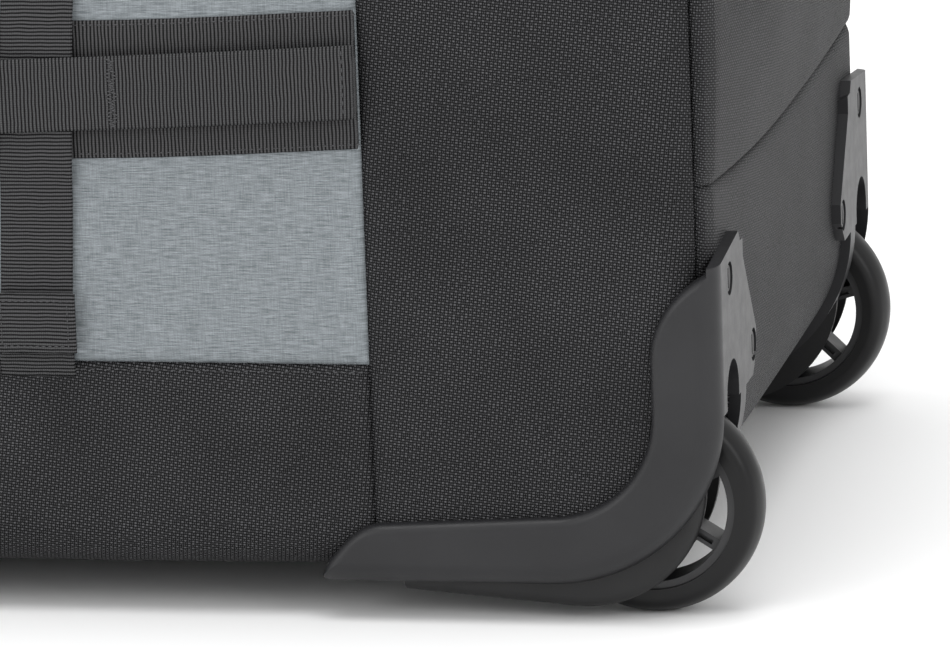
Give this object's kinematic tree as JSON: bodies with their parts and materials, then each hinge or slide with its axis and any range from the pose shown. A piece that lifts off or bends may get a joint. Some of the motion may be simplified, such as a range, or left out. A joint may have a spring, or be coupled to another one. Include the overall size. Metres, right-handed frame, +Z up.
{
  "type": "wheeled travel case",
  "caption": "Soft wheeled travel case on its base: corner guards, skate wheels, telescopic pull handle, zipped lid, webbing handles and padded sleeve.",
  "frame": {"origin": "on the floor under the middle of the case", "axes": "+X towards the wheels along the case's length, +Y towards the lid's hinge, +Z up"},
  "size_m": [0.72, 0.374, 0.3241],
  "materials": {
    "grey_fabric": "heather weave",
    "black_nylon": "ballistic weave",
    "webbing": "ribbed webbing",
    "lining": "plain weave",
    "board": "sheet",
    "guard_plastic": "satin moulded",
    "housing_plastic": "satin moulded",
    "tyre": "satin polyurethane",
    "wheel_core": "moulded",
    "steel": "turned",
    "tube_alloy": "anodised",
    "grip_plastic": "soft touch",
    "button_plastic": "satin moulded",
    "zip_tape": "woven tape with coil",
    "zip_metal": "black plated",
    "pull_rubber": "moulded"
  },
  "bodies": {
    "case": {"base_panel": "black_nylon", "side_bands": "black_nylon", "side_panels": "grey_fabric", "wheel_end_side_panels": "black_nylon", "front_end_side_panels": "black_nylon", "wheel_end_lower_panel": "black_nylon", "wheel_end_upper_panel": "black_nylon", "front_end_panel": "black_nylon", "top_panel": "black_nylon", "zip_tape_body": "zip_tape", "base_board": "board", "end_boards": "board", "floor_lining": "lining", "laptop_sleeve": "lining", "corner_guard_near": "guard_plastic", "corner_guard_far": "guard_plastic", "wheel_housing_near": "housing_plastic", "wheel_housing_far": "housing_plastic", "bearing_inner_races": "steel", "bearing_balls": "steel", "axle_spacers": "steel", "axle_bolts": "steel", "axle_nuts": "steel", "front_feet": "guard_plastic", "stand_pads": "guard_plastic", "base_runners": "guard_plastic", "guard_screws": "steel", "runner_screws": "steel", "fixed_tubes": "tube_alloy", "tube_end_bracket": "housing_plastic", "handle_bezel": "housing_plastic", "backing_webbing": "webbing", "upright_webbing": "webbing", "webbing_anchors": "webbing", "side_handle_ends": "webbing", "end_handle_patches": "webbing"},
    "wheel_near": {"tyre_near": "tyre", "wheel_core_near": "wheel_core", "bearing_outer_races_near": "steel"},
    "wheel_far": {"tyre_far": "tyre", "wheel_core_far": "wheel_core", "bearing_outer_races_far": "steel"},
    "lid": {"lid_panel": "black_nylon", "lid_mesh_pocket": "lining", "zip_tape_lid": "zip_tape"},
    "slider_left": {"zip_slider_left": "zip_metal"},
    "slider_right": {"zip_slider_right": "zip_metal"},
    "pull_left": {"zip_pull_left": "pull_rubber"},
    "pull_right": {"zip_pull_right": "pull_rubber"},
    "pull_handle": {"handle_grip": "grip_plastic", "sliding_tubes": "tube_alloy", "pin_guides": "housing_plastic"},
    "button": {"release_button": "button_plastic", "push_rods": "housing_plastic"},
    "pin_near": {"lock_pin_near": "steel"},
    "pin_far": {"lock_pin_far": "steel"},
    "side_handle_near": {"side_handle_near": "webbing"},
    "side_handle_far": {"side_handle_far": "webbing"},
    "end_handle_wheel_end": {"end_handle_wheel_end": "webbing"},
    "end_handle_front": {"end_handle_front": "webbing"}
  },
  "joints": [
    {"name": "wheel_near_spin", "type": "hinge", "parent": "case", "child": "wheel_near", "pos_m": [0.322, -0.145, 0.038], "axis": [0, 1, 0], "continuous": true},
    {"name": "wheel_far_spin", "type": "hinge", "parent": "case", "child": "wheel_far", "pos_m": [0.322, 0.145, 0.038], "axis": [0, 1, 0], "continuous": true},
    {"name": "lid_hinge", "type": "hinge", "parent": "case", "child": "lid", "pos_m": [0, 0.11215, 0.318], "axis": [-1, 0, 0], "range_deg": [0, 110]},
    {"name": "slider_left_run", "type": "slide", "parent": "case", "child": "slider_left", "axis": [-1, 0, 0], "range_m": [0, 0.23]},
    {"name": "slider_right_run", "type": "slide", "parent": "case", "child": "slider_right", "axis": [1, 0, 0], "range_m": [0, 0.23]},
    {"name": "pull_left_flap", "type": "hinge", "parent": "slider_left", "child": "pull_left", "pos_m": [-0.0095, -0.12295, 0.32105], "axis": [0, 1, 0], "range_deg": [0, 150]},
    {"name": "pull_right_flap", "type": "hinge", "parent": "slider_right", "child": "pull_right", "pos_m": [0.0095, -0.12295, 0.32105], "axis": [0, -1, 0], "range_deg": [0, 150]},
    {"name": "pull_handle_slide", "type": "slide", "parent": "case", "child": "pull_handle", "axis": [-1, 0, 0], "range_m": [0, 0.38]},
    {"name": "button_press", "type": "slide", "parent": "pull_handle", "child": "button", "axis": [1, 0, 0], "range_m": [0, 0.004], "stiffness_N_per_m": 400, "springref_m": -0.005},
    {"name": "pin_near_retract", "type": "slide", "parent": "pull_handle", "child": "pin_near", "axis": [0, 1, 0], "range_m": [0, 0.002]},
    {"name": "pin_far_retract", "type": "slide", "parent": "pull_handle", "child": "pin_far", "axis": [0, -1, 0], "range_m": [0, 0.002]},
    {"name": "side_handle_near_swing", "type": "hinge", "parent": "case", "child": "side_handle_near", "pos_m": [0, -0.169, 0.1935], "axis": [-1, 0, 0], "range_deg": [0, 75]},
    {"name": "side_handle_far_swing", "type": "hinge", "parent": "case", "child": "side_handle_far", "pos_m": [0, 0.169, 0.1935], "axis": [1, 0, 0], "range_deg": [0, 75]},
    {"name": "end_handle_wheel_end_swing", "type": "hinge", "parent": "case", "child": "end_handle_wheel_end", "pos_m": [0.3482, 0, 0.249], "axis": [0, -1, 0], "range_deg": [0, 75]},
    {"name": "end_handle_front_swing", "type": "hinge", "parent": "case", "child": "end_handle_front", "pos_m": [-0.3482, 0, 0.249], "axis": [0, 1, 0], "range_deg": [0, 75]}
  ],
  "couplings": [
    {"joint": "pin_near_retract", "follows": "button_press", "ratio": 0.5},
    {"joint": "pin_far_retract", "follows": "button_press", "ratio": 0.5}
  ]
}
